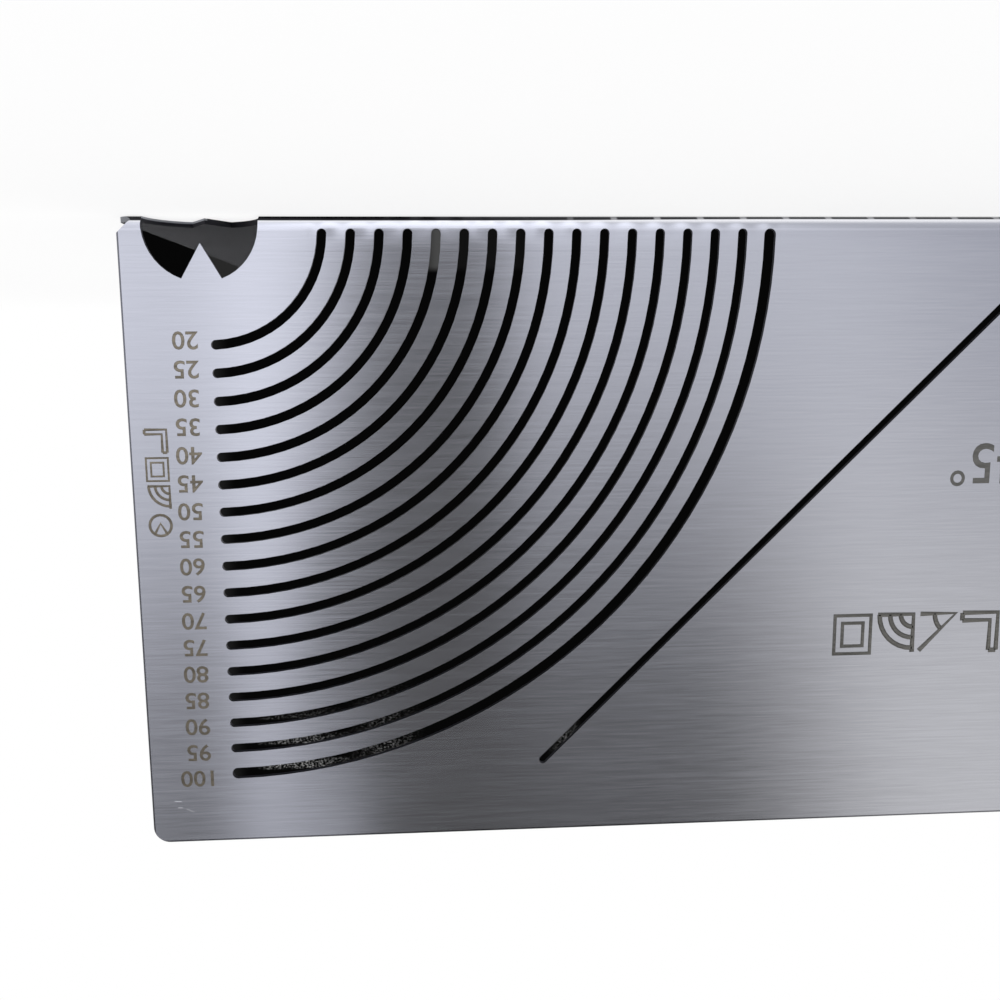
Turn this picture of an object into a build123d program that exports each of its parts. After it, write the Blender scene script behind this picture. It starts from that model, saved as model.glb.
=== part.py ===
from build123d import *
from math import asin, degrees, pi, radians, sqrt, tan
import os

# The ruler is one stainless sheet, cut flat and folded once to a right angle along its length.
# It stands on its base leg with the front leg upright. X runs along the fold and Z points up.
# The front leg's marked face looks towards -Y. The origin lies under the middle of the part.
# Each leg is laid out by two distances: x along the ruler, and u from the outside of the fold.

# Sheet and fold
sheet_thickness = 1.0
bend_inner_radius = 1.27
free_corner_radius = 3.0
fold_end_relief = 3.0

# Sides of the square tubes that the ruler marks
smallest_tube = 20.0
tube_step = 5.0
tube_count = 17

# Quarter-circle slots of the front leg, one for each tube
arc_slot_width = 1.7
largest_arc_slot_width = 2.1
free_edge_land = 12.31

# Straight slots of the base leg, one for each tube
line_slot_width = 1.7
line_allowance = 1.05
line_end_land = 8.0

# Mitre slot of the front leg, at 45 degrees to the fold
mitre_slot_width = 1.5

# Round window across the fold near one end, with a pointer standing in it on each leg
window_radius = 10.05
window_offset = 1.05
window_centre_drop = 0.9
window_end_land = 4.07
pointer_tip_height = 2.46
pointer_angle = 60.0

# Bare sheet past the last slot at the other end
plain_end_land = 26.7

# Sizes that follow from those above
fold_line = bend_inner_radius + sheet_thickness
cut_depth = 2 * fold_line
tube_sides = [smallest_tube + tube_step * i for i in range(tube_count)]
largest_tube = tube_sides[-1]
leg_width = fold_line + largest_tube + largest_arc_slot_width / 2 + free_edge_land
marked_span = pi / 2 * largest_tube + line_allowance
window_end = window_offset + window_radius + window_end_land
half_length = (window_end + marked_span + plain_end_land) / 2
arc_centre_x = half_length - window_end
window_x = arc_centre_x + window_offset
mitre_foot_x = arc_centre_x - marked_span

# Planes of the legs' outer faces, local x along the ruler and local y along the distance u
fold_edge = (0, -leg_width / 2, 0)
front_face = Plane(origin=fold_edge, x_dir=(1, 0, 0), z_dir=(0, -1, 0))
base_face = Plane(origin=fold_edge, x_dir=(1, 0, 0), z_dir=(0, 0, 1))
section_plane = Plane(origin=fold_edge, x_dir=(0, 1, 0), z_dir=(1, 0, 0))
fold_bisector = Plane(origin=fold_edge, x_dir=(1, 0, 0), z_dir=(0, -1, 1))


def rounded_quadrant(inset, radius):
    """The square inside both legs' faces at one depth of the sheet, rounded at the fold."""
    side = leg_width - inset
    square = Pos(inset, inset) * Rectangle(side, side, align=(Align.MIN, Align.MIN))
    corner = square.vertices().sort_by_distance((inset, inset))[0]
    return fillet(corner, radius)


def folded_blank():
    """The folded sheet before its cuts, with the four free corners rounded."""
    outside = rounded_quadrant(0, bend_inner_radius + sheet_thickness)
    inside = rounded_quadrant(sheet_thickness, bend_inner_radius)
    blank = extrude(section_plane * (outside - inside), amount=half_length, both=True)
    front_corners = blank.edges().filter_by(Axis.Y).group_by(Axis.Z)[-1]
    base_corners = blank.edges().filter_by(Axis.Z).group_by(Axis.Y)[-1]
    return fillet(front_corners + base_corners, free_corner_radius)


def arc_slot(side):
    """A quarter circle about the arc centre, whose round ends touch the two lines square to it."""
    width = largest_arc_slot_width if side == largest_tube else arc_slot_width
    end_angle = degrees(asin(width / 2 / side))
    path = CenterArc((arc_centre_x, fold_line), side, 90 + end_angle, 90 - 2 * end_angle)
    return SlotArc(path, width)


def line_slot(side):
    """A slot square to the fold, as far from the arc centre as the tube's quarter circle is long."""
    x = arc_centre_x - pi / 2 * side - line_allowance
    length = leg_width - line_end_land - fold_line
    return Pos(x, fold_line + length / 2) * SlotOverall(length, line_slot_width, rotation=90)


def mitre_slot():
    """A slot along the 45-degree line from its foot on the fold line, as high as the largest tube."""
    near = mitre_slot_width / 2
    far = largest_tube - mitre_slot_width / 2
    halfway = (near + far) / 2
    slot = SlotCenterToCenter(sqrt(2) * (far - near), mitre_slot_width, rotation=45)
    return Pos(mitre_foot_x + halfway, fold_line + halfway) * slot


def window_outline():
    """The part of the round window that one leg shows, with the pointer left standing in it."""
    centre_u = fold_line - window_centre_drop
    tip_u = fold_line + pointer_tip_height
    half_base = window_radius * tan(radians(pointer_angle / 2))
    base_u = tip_u + window_radius
    corners = [(window_x, tip_u), (window_x - half_base, base_u), (window_x + half_base, base_u)]
    return Pos(window_x, centre_u) * Circle(window_radius) - make_face(Polyline(*corners, close=True))


def relief_outline(end_x):
    """The 45-degree notch that parts the two legs at one end of the fold."""
    side = sqrt(2) * fold_end_relief
    return Pos(end_x, 0) * Rectangle(side, side, rotation=45)


def cut_across_fold(outline):
    """Carries an outline over the fold: it cuts each leg squarely, up to the fold's bisector."""
    front = split(extrude(front_face * outline, amount=cut_depth, both=True), bisect_by=fold_bisector)
    return [front, mirror(front, about=fold_bisector)]


def cut_on_leg(face, outlines):
    """Slots cut squarely through one leg."""
    return [extrude(face * outline, amount=cut_depth, both=True) for outline in outlines]


def folded_plate():
    """The whole ruler, as one solid."""
    cuts = cut_on_leg(front_face, [arc_slot(side) for side in tube_sides] + [mitre_slot()])
    cuts += cut_on_leg(base_face, [line_slot(side) for side in tube_sides])
    for outline in (window_outline(), relief_outline(half_length), relief_outline(-half_length)):
        cuts += cut_across_fold(outline)
    return folded_blank() - cuts


os.makedirs("parts", exist_ok=True)
export_step(folded_plate(), "parts/folded_plate.step")
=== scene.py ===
from math import cos, pi, radians, sin

import bpy
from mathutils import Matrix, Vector


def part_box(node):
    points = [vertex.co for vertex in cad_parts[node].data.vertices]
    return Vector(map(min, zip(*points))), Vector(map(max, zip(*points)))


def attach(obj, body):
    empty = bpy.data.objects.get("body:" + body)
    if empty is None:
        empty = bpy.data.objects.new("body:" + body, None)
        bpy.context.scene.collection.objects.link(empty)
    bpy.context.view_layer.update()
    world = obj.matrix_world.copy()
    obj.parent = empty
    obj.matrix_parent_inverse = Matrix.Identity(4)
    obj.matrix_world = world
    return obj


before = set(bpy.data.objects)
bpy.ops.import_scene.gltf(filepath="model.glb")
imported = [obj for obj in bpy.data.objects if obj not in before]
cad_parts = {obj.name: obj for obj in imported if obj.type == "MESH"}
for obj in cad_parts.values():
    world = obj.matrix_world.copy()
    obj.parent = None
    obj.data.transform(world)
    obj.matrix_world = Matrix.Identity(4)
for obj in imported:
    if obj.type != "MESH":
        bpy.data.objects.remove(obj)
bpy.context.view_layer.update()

# Sizes of the sheet, in metres: measured in the frame, or repeated from the part
MM = 0.001
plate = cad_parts["folded_plate"]
plate_low, plate_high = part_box("folded_plate")
front_y = plate_low.y
half_length = plate_high.x
leg_width = plate_high.z
fold_line = 2.27 * MM
window_end = 15.17 * MM
arc_centre_x = half_length - window_end
line_allowance = 1.05 * MM
smallest_tube = 20
tube_step = 5
tube_count = 17
tube_pitch = tube_step * MM

# Traces of the press beside the fold, a dark line along the outline, and painted shade under the bend
die_line = 6.3 * MM
die_line_width = 0.25 * MM
die_line_depth = 0.004 * MM
draw_down = 8.0
ripple_height = 0.03 * MM
grain_height = 0.0008 * MM
edge_line_width = 0.3 * MM
bend_shade_top = 0.46 * MM


class Graph:
    """A node tree with short ways to add nodes and join them."""

    def __init__(self, tree):
        self.nodes = tree.nodes
        self.links = tree.links
        self.nodes.clear()

    def feed(self, socket, value):
        if isinstance(value, bpy.types.NodeSocket):
            self.links.new(value, socket)
        else:
            socket.default_value = value

    def add(self, kind, inputs=None, **settings):
        node = self.nodes.new(kind)
        for name, value in settings.items():
            setattr(node, name, value)
        for key, value in (inputs or {}).items():
            self.feed(node.inputs[key], value)
        return node

    def math(self, operation, a, b=0.0, c=0.0):
        return self.add("ShaderNodeMath", {0: a, 1: b, 2: c}, operation=operation).outputs[0]

    def total(self, *values):
        result = values[0]
        for value in values[1:]:
            result = self.math("ADD", result, value)
        return result

    def product(self, *values):
        result = values[0]
        for value in values[1:]:
            result = self.math("MULTIPLY", result, value)
        return result

    def ramp(self, value, low, high, to_low=0.0, to_high=1.0, kind="SMOOTHSTEP"):
        """value mapped from low..high to to_low..to_high, and level beyond them."""
        inputs = {"Value": value, "From Min": low, "From Max": high, "To Min": to_low, "To Max": to_high}
        node = self.add("ShaderNodeMapRange", inputs, interpolation_type=kind)
        return node.outputs["Result"]

    def hump(self, value, centre, width):
        """1 at centre, falling smoothly to 0 at a distance of width."""
        distance = self.math("ABSOLUTE", self.math("SUBTRACT", value, centre))
        return self.ramp(distance, 0.0, width, 1.0, 0.0)

    def wave(self, distance, pitch):
        """1 at every whole pitch along a distance, and -1 halfway between."""
        turns = self.math("DIVIDE", distance, pitch)
        return self.math("COSINE", self.product(turns, 2 * pi))

    def mix(self, factor, a, b):
        """A colour between a and b."""
        node = self.add("ShaderNodeMix", data_type="RGBA")
        self.feed(node.inputs["Factor"], factor)
        self.feed(node.inputs[6], a)
        self.feed(node.inputs[7], b)
        return node.outputs[2]

    def blend(self, factor, a, b):
        """A number between a and b."""
        node = self.add("ShaderNodeMix", data_type="FLOAT")
        self.feed(node.inputs["Factor"], factor)
        self.feed(node.inputs[2], a)
        self.feed(node.inputs[3], b)
        return node.outputs[0]

    def scaled(self, color, value):
        node = self.add("ShaderNodeVectorMath", {0: color, "Scale": value}, operation="SCALE")
        return node.outputs[0]

    def split(self, vector):
        return self.add("ShaderNodeSeparateXYZ", {0: vector}).outputs

    def noise(self, place, stretch, detail=2.0, roughness=0.5):
        """Noise with stretch cells a metre along each axis."""
        vector = self.add("ShaderNodeMapping", {"Vector": place, "Scale": stretch}).outputs[0]
        inputs = {"Vector": vector, "Scale": 1.0, "Detail": detail, "Roughness": roughness}
        return self.add("ShaderNodeTexNoise", inputs).outputs["Fac"]


def new_material(name):
    material = bpy.data.materials.new(name)
    material.use_nodes = True
    return material, Graph(material.node_tree)


# Colours of the sheet and its marks

steel_light = (0.718, 0.718, 0.733, 1.0)
steel_dark = (0.627, 0.627, 0.642, 1.0)
steel_even = (0.6725, 0.6725, 0.6875, 1.0)
# Painted highlight: a paler steel along the outside of the fold
bend_highlight_color = (0.93, 0.93, 0.94, 1.0)
cut_wall_color = (0.035, 0.035, 0.04, 1.0)
# Painted shade: the dark line along the bend
bend_shade_color = (0.012, 0.012, 0.015, 1.0)
# Painted reflection: bright walls by the round window, which face the front
wall_highlight_color = (0.45, 0.46, 0.48, 1.0)
number_color = (0.26, 0.225, 0.165, 1.0)
sign_color = (0.185, 0.18, 0.16, 1.0)


# Materials


def cut_wall_mask(g, place, normal):
    """1 on the walls that the cuts leave, and 0 on the faces of the sheet."""
    x, y, z = g.split(place)
    nx, ny, nz = g.split(normal)
    on_front = g.math("GREATER_THAN", z, fold_line)
    on_base = g.math("GREATER_THAN", y, front_y + fold_line)
    front_wall = g.product(on_front, g.math("LESS_THAN", g.math("ABSOLUTE", ny), 0.5))
    base_wall = g.product(on_base, g.math("LESS_THAN", g.math("ABSOLUTE", nz), 0.5))
    bend_wall = g.math("GREATER_THAN", g.math("ABSOLUTE", nx), 0.4)
    return g.math("MAXIMUM", bend_wall, g.math("MAXIMUM", front_wall, base_wall))


def wall_highlight_mask(g, place):
    """Painted reflection: 1 on the walls of the round window and of the relief at the end near it, which
    are drawn bright.
    """
    x, y, z = g.split(place)
    rim = g.product(g.math("GREATER_THAN", x, 85.5 * MM), g.math("LESS_THAN", z, 0.35 * MM))
    notch = g.product(g.math("GREATER_THAN", x, 96.5 * MM), g.math("LESS_THAN", z, 3.2 * MM))
    return g.math("MAXIMUM", rim, notch)


def outline_edge(g, place):
    """1 on a thin line along the sheet's outline, which is drawn darker."""
    x, y, z = g.split(place)
    end = g.math("GREATER_THAN", g.math("ABSOLUTE", x), half_length - edge_line_width)
    top = g.math("GREATER_THAN", z, leg_width - edge_line_width)
    back = g.math("GREATER_THAN", y, -front_y - edge_line_width)
    return g.math("MAXIMUM", end, g.math("MAXIMUM", top, back))


def from_fold(g, place):
    """Distance from the outside of the fold, along either leg."""
    x, y, z = g.split(place)
    return g.math("MAXIMUM", z, g.math("SUBTRACT", y, front_y))


def fold_relief(g, place):
    """Height of the sheet near the fold, where the press has drawn it down towards the bend."""
    u = from_fold(g, place)
    inside = g.math("MAXIMUM", g.math("SUBTRACT", die_line, u), 0.0)
    roll = g.product(inside, inside, -draw_down)
    groove = g.product(g.hump(u, die_line, die_line_width), -die_line_depth)
    return g.total(roll, groove)


def slot_ripple(g, place):
    """Ripples in the bend, one for each arc slot that ends at the fold line."""
    x, y, z = g.split(place)
    along = g.math("SUBTRACT", arc_centre_x, x)
    past_first = g.ramp(along, 17 * MM, 21 * MM)
    before_last = g.ramp(along, 99 * MM, 103 * MM, 1.0, 0.0)
    near = g.ramp(from_fold(g, place), 1.0 * MM, 5.0 * MM, 1.0, 0.0)
    return g.product(g.wave(along, tube_pitch), past_first, before_last, near, ripple_height)


def bend_glint(g, x):
    """1 on the short bright stretches of the bend, one below the end of each straight slot."""
    along = g.math("SUBTRACT", arc_centre_x - line_allowance, x)
    crest = g.ramp(g.wave(along, pi / 2 * tube_pitch), 0.8, 0.98)
    growing = g.ramp(along, 50 * MM, 80 * MM)
    before_last = g.ramp(along, 158 * MM, 161 * MM, 1.0, 0.0)
    return g.product(crest, growing, before_last)


def bend_shade(g, place):
    """Painted shade: 1 on the dark line under the bend, which is wider towards the round window and
    lighter at each glint.
    """
    x, y, z = g.split(place)
    wider = g.ramp(x, -20 * MM, 40 * MM, 0.0, 0.3 * MM)
    low = g.ramp(g.math("SUBTRACT", z, wider), bend_shade_top + 0.2 * MM, bend_shade_top)
    in_front = g.math("LESS_THAN", y, front_y + 2.1 * MM)
    unlit = g.ramp(bend_glint(g, x), 0.0, 1.0, 1.0, 0.68)
    return g.product(low, in_front, unlit)


def steel_color(g, place, grain):
    """Grained steel, which is calmer on the bare end, with a painted highlight: paler along the bend."""
    x, y, z = g.split(place)
    grained = g.mix(g.ramp(grain, 0.35, 0.65, kind="LINEAR"), steel_dark, steel_light)
    bare_end = g.product(g.ramp(x, 25 * MM, -15 * MM), g.ramp(z, 90 * MM, 60 * MM), 0.3)
    steel = g.mix(bare_end, grained, steel_even)
    # Painted highlight along the bend
    bend_highlight = g.ramp(from_fold(g, place), 2.9 * MM, 1.9 * MM)
    return g.mix(bend_highlight, steel, bend_highlight_color)


def brushed_metal(g, color, metallic, roughness, anisotropy, normal=None):
    """A metal whose reflections stay sharp along the ruler and smear across it."""
    across = g.add("ShaderNodeTangent", direction_type="RADIAL", axis="X").outputs[0]
    inputs = {"Base Color": color, "Metallic": metallic, "Roughness": roughness}
    inputs.update({"Anisotropic": anisotropy, "Tangent": across})
    if normal is not None:
        inputs["Normal"] = normal
    shader = g.add("ShaderNodeBsdfPrincipled", inputs)
    g.add("ShaderNodeOutputMaterial", {"Surface": shader.outputs[0]})


def brushed_sheet():
    """Stainless sheet brushed along the fold, with dark walls where it is cut."""
    material, g = new_material("brushed_sheet")
    place = g.add("ShaderNodeTexCoord").outputs["Object"]
    normal = g.add("ShaderNodeNewGeometry").outputs["Normal"]
    wall = cut_wall_mask(g, place, normal)

    fine = g.noise(place, (110, 4300, 4300), 2.0, 0.6)
    streaks = g.noise(place, (14, 2400, 2400), 3.0, 0.6)
    cloud = g.noise(place, (18, 40, 40), 2.0, 0.5)
    grain = g.total(g.product(fine, 0.55), g.product(streaks, 0.3), g.product(cloud, 0.15))
    roughness = g.blend(wall, g.ramp(grain, 0.3, 0.7, 0.17, 0.22, "LINEAR"), 0.5)

    edge = g.product(outline_edge(g, place), 0.75)
    face_color = g.mix(edge, steel_color(g, place, grain), cut_wall_color)
    # Painted shade along the bend
    face_color = g.mix(bend_shade(g, place), face_color, bend_shade_color)
    # Painted reflection on the walls by the round window
    wall_color = g.mix(wall_highlight_mask(g, place), cut_wall_color, wall_highlight_color)
    color = g.mix(wall, face_color, wall_color)

    height = g.total(fold_relief(g, place), slot_ripple(g, place), g.product(fine, grain_height))
    bump = g.add("ShaderNodeBump", {"Height": height, "Strength": 1.0, "Distance": 1.0})
    brushed_metal(g, color, 1.0, roughness, 0.95, bump.outputs[0])
    return material


def laser_mark(name, color, uneven):
    """A burnt mark in the brushed face, a little uneven along the grain."""
    material, g = new_material(name)
    place = g.add("ShaderNodeNewGeometry").outputs["Position"]
    grain = g.noise(place, (300, 2500, 2500), 2.0, 0.6)
    shade = g.scaled(color[:3], g.ramp(grain, 0.3, 0.7, 1.0 - uneven, 1.0 + uneven, "LINEAR"))
    brushed_metal(g, shade, 0.9, 0.26, 0.8)
    return material


# Marks on the front face: numbers beside the arc slots, the angle beside the mitre slot, and signs

number_pitch = 5.103 * MM
number_height = 3.1 * MM
first_number = Vector((89.3 * MM, 21.28 * MM))
number_drift = 0.105 * MM
number_width = 1.06
number_heavier = 0.06 * MM
angle_height = 7.65 * MM
angle_width = 0.95
angle_heavier = 0.05 * MM
angle_place = Vector((-58.0 * MM, 44.95 * MM))
title_sign_size = 8.4 * MM
title_sign_line = 0.95 * MM
first_title_sign = Vector((-33.9 * MM, 78.2 * MM))
side_sign_size = 4.6 * MM
side_sign_line = 0.5 * MM
side_sign_pitch = 5.1 * MM
first_side_sign = Vector((95.4 * MM, 39.2 * MM))
scratch_line = 0.13 * MM
scratch_place = Vector((94.6 * MM, 107.6 * MM))
scratch_color = (0.95, 0.95, 0.96, 1.0)
capital_height = 0.70
mark_lift = 0.02 * MM


def on_front_face(obj, x, z):
    """Lays a flat object on the marked face, its own x along the ruler and its own y upwards."""
    obj.rotation_euler = (pi / 2, 0, 0)
    obj.location = (x, front_y, z)
    return obj


def lettering(name, body, height, width_scale, heavier, material):
    """Digits as thin flat shapes, whose strokes are made heavier on each side."""
    curve = bpy.data.curves.new(name, "FONT")
    curve.body = body
    curve.size = height / capital_height
    curve.align_x = "CENTER"
    curve.align_y = "CENTER"
    curve.resolution_u = 4
    curve.bevel_depth = heavier
    curve.bevel_resolution = 0
    curve.materials.append(material)
    obj = bpy.data.objects.new(name, curve)
    bpy.context.collection.objects.link(obj)
    obj.scale = (width_scale, 1.0, mark_lift / 2 / heavier)
    return obj


def numbers(material):
    """The tube sides beside the left ends of the arc slots."""
    for i in range(tube_count):
        side = str(smallest_tube + tube_step * i)
        x = first_number.x + number_drift * i
        z = first_number.y + number_pitch * i
        name = "number_" + side
        mark = lettering(name, side, number_height, number_width, number_heavier, material)
        on_front_face(mark, x, z)
        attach(mark, "root")


def angle_mark(material):
    """The angle of the mitre slot, beside it."""
    mark = lettering("angle_45", "45°", angle_height, angle_width, angle_heavier, material)
    on_front_face(mark, angle_place.x, angle_place.y)
    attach(mark, "root")


def arc(cx, cy, radius, start, end, steps=8):
    """Points along an arc, by angles in degrees."""
    angles = [radians(start + (end - start) * i / steps) for i in range(steps + 1)]
    return [(cx + radius * cos(a), cy + radius * sin(a)) for a in angles]


def rectangle(x0, y0, x1, y1):
    return [(x0, y0), (x1, y0), (x1, y1), (x0, y1), (x0, y0)]


def tube_section_sign():
    return [rectangle(-0.42, -0.45, 0.42, 0.45), rectangle(-0.24, -0.27, 0.24, 0.27)]


def arcs_sign():
    corner = [(-0.42, 0.45), (-0.42, -0.45), (0.42, -0.45)]
    return [corner] + [arc(-0.42, -0.45, radius, 0, 90) for radius in (0.3, 0.55, 0.8)]


def mitre_sign():
    return [[(0.42, -0.45), (-0.42, -0.45), (0.42, 0.42)], arc(-0.42, -0.45, 0.5, 0, 45, 4)]


def ruler_sign():
    marks = [(-0.26, 0.2), (-0.09, 0.34), (0.09, 0.2), (0.26, 0.34)]
    ticks = [[(x, 0.28), (x, 0.28 - depth)] for x, depth in marks]
    return [rectangle(-0.42, -0.28, 0.42, 0.28)] + ticks


def fold_sign():
    outside = [(-0.42, 0.45), (-0.42, -0.45), (0.42, -0.45)]
    inside = [(-0.24, 0.45), (-0.24, -0.27), (0.42, -0.27)]
    return [outside, inside, [(-0.42, 0.45), (-0.24, 0.45)], [(0.42, -0.45), (0.42, -0.27)]]


def pointer_sign():
    return [arc(0, 0, 0.42, 0, 360, 20), [(-0.24, 0.34), (0, -0.08), (0.24, 0.34)]]


def sign(name, strokes, x, z, size, line, material):
    """A small line drawing, laid on the marked face."""
    curve = bpy.data.curves.new(name, "CURVE")
    curve.dimensions = "3D"
    for stroke in strokes:
        closed = stroke[0] == stroke[-1]
        points = stroke[:-1] if closed else stroke
        spline = curve.splines.new("POLY")
        spline.points.add(len(points) - 1)
        spline.use_cyclic_u = closed
        for point, (px, py) in zip(spline.points, points):
            point.co = (px * size, py * size, 0, 1)
    curve.bevel_depth = line / 2
    curve.bevel_resolution = 1
    curve.use_fill_caps = True
    curve.materials.append(material)
    obj = bpy.data.objects.new(name, curve)
    bpy.context.collection.objects.link(obj)
    obj.scale = (1, 1, mark_lift / line)
    on_front_face(obj, x, z)
    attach(obj, "root")


def title_signs(material):
    """A row of five plain signs that tell what the ruler is for."""
    drawings = [tube_section_sign, arcs_sign, mitre_sign, fold_sign, ruler_sign]
    for i, drawing in enumerate(drawings):
        name = "title_sign_%d" % (i + 1)
        x = first_title_sign.x - title_sign_size * i
        sign(name, drawing(), x, first_title_sign.y, title_sign_size, title_sign_line, material)


def side_signs(material):
    """Four small plain signs in a column beside the numbers."""
    drawings = [fold_sign, tube_section_sign, arcs_sign, pointer_sign]
    for i, drawing in enumerate(drawings):
        name = "side_sign_%d" % (i + 1)
        z = first_side_sign.y + side_sign_pitch * i
        sign(name, drawing(), first_side_sign.x, z, side_sign_size, side_sign_line, material)


def scratches():
    """Three short bright scratches near the corner past the largest slot."""
    material = laser_mark("scratch", scratch_color, 0.1)
    strokes = [[(0.0, 0.0), (1.3, -0.15)], [(-0.9, 1.5), (-2.3, 2.2)], [(-0.2, 1.25), (0.7, 1.2)]]
    sign("scratches", strokes, scratch_place.x, scratch_place.y, MM, scratch_line, material)


# Camera


def photo_camera():
    """The ruler stands upside down in the photograph, so the camera is rolled by half a turn."""
    camera = bpy.data.objects.new("camera", bpy.data.cameras.new("camera"))
    camera.location = (0.0452967, -0.2411378, 0.0221265)
    camera.rotation_euler = (radians(-98.88736), radians(-0.39100), radians(-176.36812))
    camera.data.lens = 36.345
    camera.data.sensor_width = 36.0
    camera.data.clip_start = 0.005
    camera.data.clip_end = 20.0
    bpy.context.collection.objects.link(camera)
    bpy.context.scene.camera = camera
    return camera


# Studio: what the metal mirrors, the light, the floor and a card of painted shade behind the slots

mirror_centre = Vector((45.3, 22.1))
mirror_distance = 183.3
cool_light = (0.94, 0.97, 1.11)
plain_light = (0.985, 0.99, 1.03)
doorway_level = 0.092
dark_place_level = 0.01


def window_light(g, px, pz):
    """A window at one side, whose light fades upwards, with a bright upright in it."""
    window_level = g.ramp(pz, 20.0, 94.0, 0.96, 0.03, "LINEAR")
    inwards = g.math("SUBTRACT", px, g.product(g.ramp(pz, 20.0, 72.0), 12.0))
    window = g.product(g.ramp(inwards, 53.0, 71.0), window_level)
    upright = g.product(g.hump(px, 78.0, 11.0), g.ramp(pz, 10.0, 65.0, 0.12, 0.49))
    low_glow = g.product(g.hump(px, 60.0, 26.0), g.ramp(pz, 46.0, 14.0), 0.10)
    end_glow = g.product(g.hump(px, 106.0, 12.0), 0.10)
    foot = g.product(g.hump(px, 67.0, 10.0), g.ramp(pz, 103.0, 113.0), 0.60)
    beside_upright = g.total(g.hump(px, 65.0, 11.0), g.product(g.hump(px, 91.0, 8.0), 0.7))
    halfway_up = g.product(g.ramp(pz, 48.0, 68.0), g.ramp(pz, 108.0, 98.0))
    shade = g.product(beside_upright, halfway_up, -0.07)
    return g.total(window, low_glow, upright, shade, end_glow, foot)


def curtain_light(g, px, pz):
    """A bright curtain to the other side, leaning outwards as it rises, with shadows on it."""
    leaning = g.math("ADD", px, g.product(g.ramp(pz, 50.0, 110.0), 23.0))
    curtain_level = g.ramp(pz, 15.0, 75.0, 0.0, 0.66)
    curtain = g.product(g.ramp(leaning, 14.0, -38.0), curtain_level)
    shadow = g.product(g.ramp(px, -36.0, -50.0), g.hump(pz, 74.0, 30.0), -0.12)
    far_shadow = g.product(g.ramp(px, -20.0, -75.0), g.ramp(pz, 70.0, 20.0), -0.30)
    return g.total(curtain, shadow, far_shadow)


def light_ahead(g, px, pz):
    """What stands in front of the ruler: a window, a low pale wall, a dark doorway, a curtain
    and, below them, the table."""
    low_wall = g.product(g.ramp(px, 40.0, 24.0), g.ramp(pz, 0.0, 79.0, 0.77, 0.0))
    cool = g.scaled(cool_light, g.total(window_light(g, px, pz), low_wall))
    plain = g.scaled(plain_light, g.total(curtain_light(g, px, pz), doorway_level))
    upper = g.add("ShaderNodeVectorMath", {0: cool, 1: plain}, operation="ADD").outputs[0]

    across_table = g.total(g.ramp(px, -60.0, 30.0, 0.45, 1.12), g.ramp(px, 78.0, 98.0, 0.0, -0.36))
    table_middle = g.ramp(g.hump(pz, -80.0, 60.0), 0.0, 0.6, 1.0, 0.8)
    table = g.scaled(cool_light, g.product(across_table, table_middle))
    return g.mix(g.ramp(pz, -14.0, -40.0), upper, table)


def light_of_room(g, dx, dy, dz):
    """The rest of the room: pale above, lit from below, and one dark place behind the ruler."""
    sideways = g.math("DIVIDE", dx, g.math("MAXIMUM", dy, 0.05))
    upwards = g.ramp(dz, -0.4, 0.8, 0.5, 0.95)
    pale_corner = g.product(g.hump(sideways, -0.9, 0.8), 0.25)
    from_below = g.ramp(dz, -0.7, -0.88, 0.0, 0.45)
    level = g.total(upwards, pale_corner, from_below)

    aside = g.math("ABSOLUTE", g.math("SUBTRACT", sideways, 0.24))
    behind = g.product(g.ramp(dy, 0.0, 0.3), g.ramp(dz, 0.97, 0.9))
    dark_place = g.product(behind, g.ramp(aside, 0.15, 0.34, 1.0, 0.0))
    return g.scaled(plain_light, g.blend(dark_place, level, dark_place_level))


def mirrored_studio(g, direction):
    """Light that the metal mirrors. px and pz are the places of the marked face that mirror
    each direction of the studio to the camera, in millimetres."""
    dx, dy, dz = g.split(direction)
    ahead = g.math("MAXIMUM", g.product(dy, -1.0), 0.08)
    px = g.math("MULTIPLY_ADD", g.math("DIVIDE", dx, ahead), mirror_distance, mirror_centre.x)
    pz = g.math("MULTIPLY_ADD", g.math("DIVIDE", dz, ahead), mirror_distance, mirror_centre.y)
    not_ahead = g.ramp(dy, -0.45, -0.15)
    return g.mix(not_ahead, light_ahead(g, px, pz), light_of_room(g, dx, dy, dz))


def studio_world():
    """White to the camera, plain soft light for everything else, and shapes for the metal to mirror."""
    world = bpy.data.worlds.new("studio")
    bpy.context.scene.world = world
    world.use_nodes = True
    g = Graph(world.node_tree)
    direction = g.add("ShaderNodeTexCoord").outputs["Generated"]
    rays = g.add("ShaderNodeLightPath").outputs
    plain = g.mix(rays["Is Glossy Ray"], (0.85, 0.85, 0.85, 1.0), mirrored_studio(g, direction))
    color = g.mix(rays["Is Camera Ray"], plain, (1.0, 1.0, 1.0, 1.0))
    shader = g.add("ShaderNodeBackground", {"Color": color, "Strength": 1.0})
    g.add("ShaderNodeOutputWorld", {"Surface": shader.outputs[0]})


def key_light():
    """A large soft lamp, which gives the floor the object's shadow and isn't mirrored."""
    light = bpy.data.lights.new("key", "AREA")
    light.shape = "DISK"
    light.size = 0.5
    light.energy = 4.0
    lamp = bpy.data.objects.new("key", light)
    lamp.location = (0.35, -0.7, 0.9)
    lamp.rotation_euler = (Vector((0, 0, 0.05)) - lamp.location).to_track_quat("-Z", "Y").to_euler()
    lamp.visible_glossy = False
    bpy.context.collection.objects.link(lamp)


def flat_piece(name, corners, material):
    mesh = bpy.data.meshes.new(name)
    mesh.from_pydata([tuple(corner) for corner in corners], [], [tuple(range(len(corners)))])
    mesh.materials.append(material)
    obj = bpy.data.objects.new(name, mesh)
    bpy.context.collection.objects.link(obj)
    return obj


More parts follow.
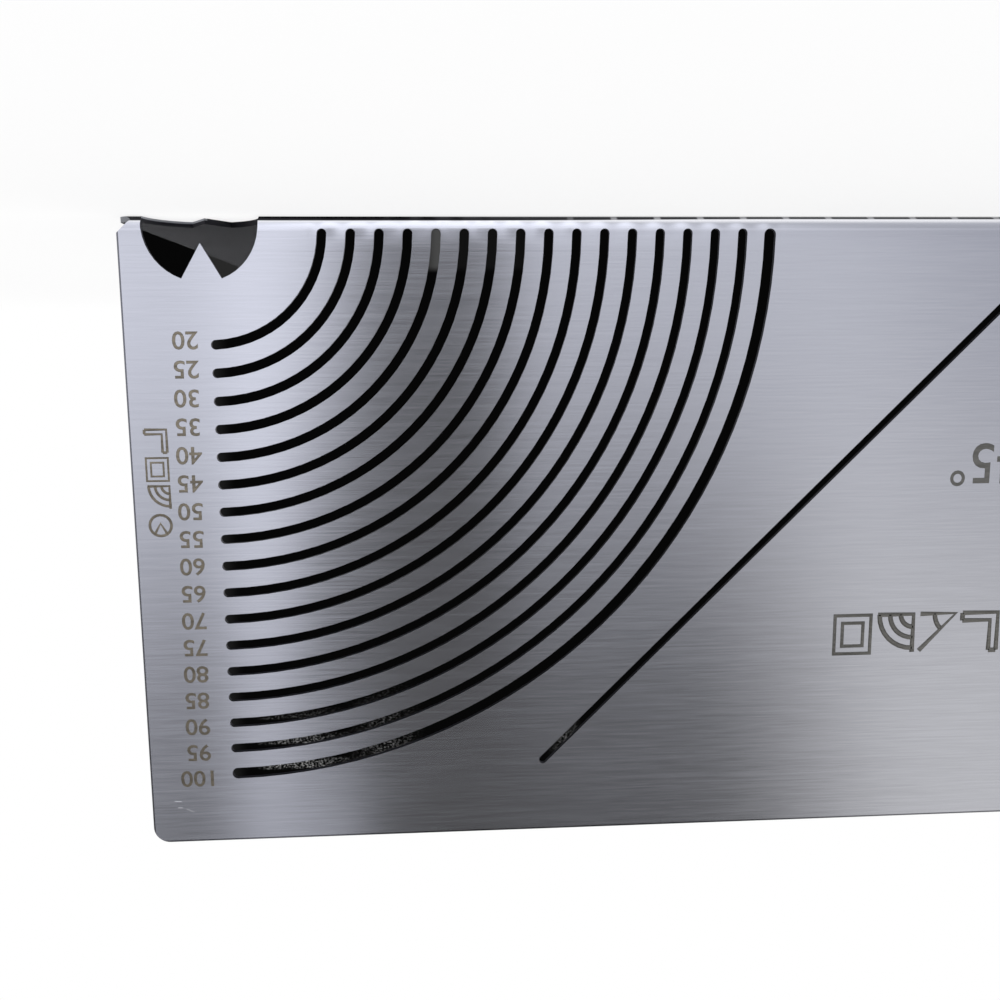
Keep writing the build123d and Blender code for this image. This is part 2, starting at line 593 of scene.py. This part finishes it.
def floor():
    """White paper that takes a light shadow near the ruler and is pure white farther away.
    The metal mirrors the studio through it."""
    material, g = new_material("floor")
    rays = g.add("ShaderNodeLightPath").outputs
    paper = g.add("ShaderNodeBsdfDiffuse", {"Color": (0.9, 0.9, 0.9, 1.0)}).outputs[0]
    white = g.add("ShaderNodeEmission", {"Color": (1.0, 1.0, 1.0, 1.0), "Strength": 1.0}).outputs[0]
    clear = g.add("ShaderNodeBsdfTransparent").outputs[0]
    place = g.add("ShaderNodeNewGeometry").outputs["Position"]
    distance = g.add("ShaderNodeVectorMath", {0: place}, operation="LENGTH").outputs["Value"]
    paper_share = g.ramp(distance, 0.2, 0.5, 0.3, 0.0)
    seen = g.add("ShaderNodeMixShader", {0: paper_share, 1: white, 2: paper}).outputs[0]
    lit = g.add("ShaderNodeMixShader", {0: rays["Is Camera Ray"], 1: paper, 2: seen}).outputs[0]
    shader = g.add("ShaderNodeMixShader", {0: rays["Is Glossy Ray"], 1: lit, 2: clear}).outputs[0]
    g.add("ShaderNodeOutputMaterial", {"Surface": shader})
    reach = 4.0
    corners = [(-reach, -reach, 0), (reach, -reach, 0), (reach, reach, 0), (-reach, reach, 0)]
    flat_piece("floor", corners, material)


def card_glow(g, x, z):
    """Faint light on the card, near the slots' ends and beside the round window."""
    ends = g.product(g.ramp(x, 82 * MM, 88 * MM), g.ramp(z, 13 * MM, 18 * MM), 0.02)
    beside = g.product(g.ramp(x, 86 * MM, 84 * MM), g.ramp(x, 70 * MM, 72 * MM))
    window = g.product(beside, g.ramp(z, 14 * MM, 12 * MM), 0.02)
    one_tip = g.product(g.hump(x, 44.5 * MM, 3.6 * MM), 0.06)
    next_tips = g.product(g.ramp(x, 46 * MM, 42 * MM), g.ramp(x, 25 * MM, 32 * MM), 0.004)
    tips = g.product(g.total(one_tip, next_tips), g.ramp(z, 9.8 * MM, 8.4 * MM))
    return g.total(0.002, ends, window, tips)


def card_speckle_light(g, position, x, z):
    """Painted light: bright speckles that show in the largest slots and at the end of the mitre slot."""
    grains = g.ramp(g.noise(position, (2300, 2300, 3200), 2.0, 0.7), 0.45, 0.75)
    from_slot = g.math("SUBTRACT", z, fold_line - 0.5 * MM)
    rows = g.ramp(g.wave(from_slot, tube_pitch), 0.1, 0.6)
    stretch = g.product(g.ramp(x, 81 * MM, 77 * MM), g.ramp(x, 60 * MM, 74 * MM))
    near = g.product(stretch, rows, g.ramp(z, 88 * MM, 104 * MM))
    far = g.product(g.hump(x, 56 * MM, 8 * MM), g.ramp(z, 84 * MM, 100 * MM), 0.3)
    at_mitre = g.product(g.hump(x, 21.5 * MM, 3.5 * MM), g.ramp(z, 92 * MM, 96 * MM), 0.35)
    return g.product(grains, g.total(near, far, at_mitre), 0.42)


def slot_shade_card():
    """Painted shade: a dark card close behind the marked leg, seen only by camera rays that reach it
    from the front, so that the slots look dark from the front.
    """
    material, g = new_material("slot_shade_card")
    place = g.add("ShaderNodeNewGeometry").outputs
    x, y, z = g.split(place["Position"])
    level = g.total(card_glow(g, x, z), card_speckle_light(g, place["Position"], x, z))
    grey = g.add("ShaderNodeCombineColor", {i: level for i in range(3)}).outputs[0]
    dark = g.add("ShaderNodeEmission", {"Color": grey, "Strength": 1.0}).outputs[0]
    clear = g.add("ShaderNodeBsdfTransparent").outputs[0]
    rays = g.add("ShaderNodeLightPath").outputs
    from_front = g.math("SUBTRACT", 1.0, place["Backfacing"])
    seen = g.product(rays["Is Camera Ray"], from_front)
    shader = g.add("ShaderNodeMixShader", {0: seen, 1: clear, 2: dark}).outputs[0]
    g.add("ShaderNodeOutputMaterial", {"Surface": shader})

    card_y = front_y + 2.5 * MM
    low = 1.2 * MM
    high = leg_width - 5 * MM
    left = -half_length + 5 * MM
    right = 96.3 * MM
    # By the round window the lower edge keeps clear of the base leg, as the camera sees it
    beside_window = 71 * MM
    window_low = 2.25 * MM
    window_high = 12.0 * MM
    outline = [(left, low), (beside_window, low), (beside_window, window_high)]
    outline += [(right, window_low), (right, high), (left, high)]
    flat_piece("slot_shade_card", [(x, card_y, z) for x, z in outline], material)


bpy.context.scene.view_settings.view_transform = "Standard"
photo_camera()
plate.data.materials.clear()
plate.data.materials.append(brushed_sheet())
number_material = laser_mark("number_mark", number_color, 0.3)
sign_material = laser_mark("sign_mark", sign_color, 0.2)
numbers(number_material)
angle_mark(sign_material)
title_signs(sign_material)
side_signs(number_material)
scratches()
studio_world()
key_light()
floor()
slot_shade_card()
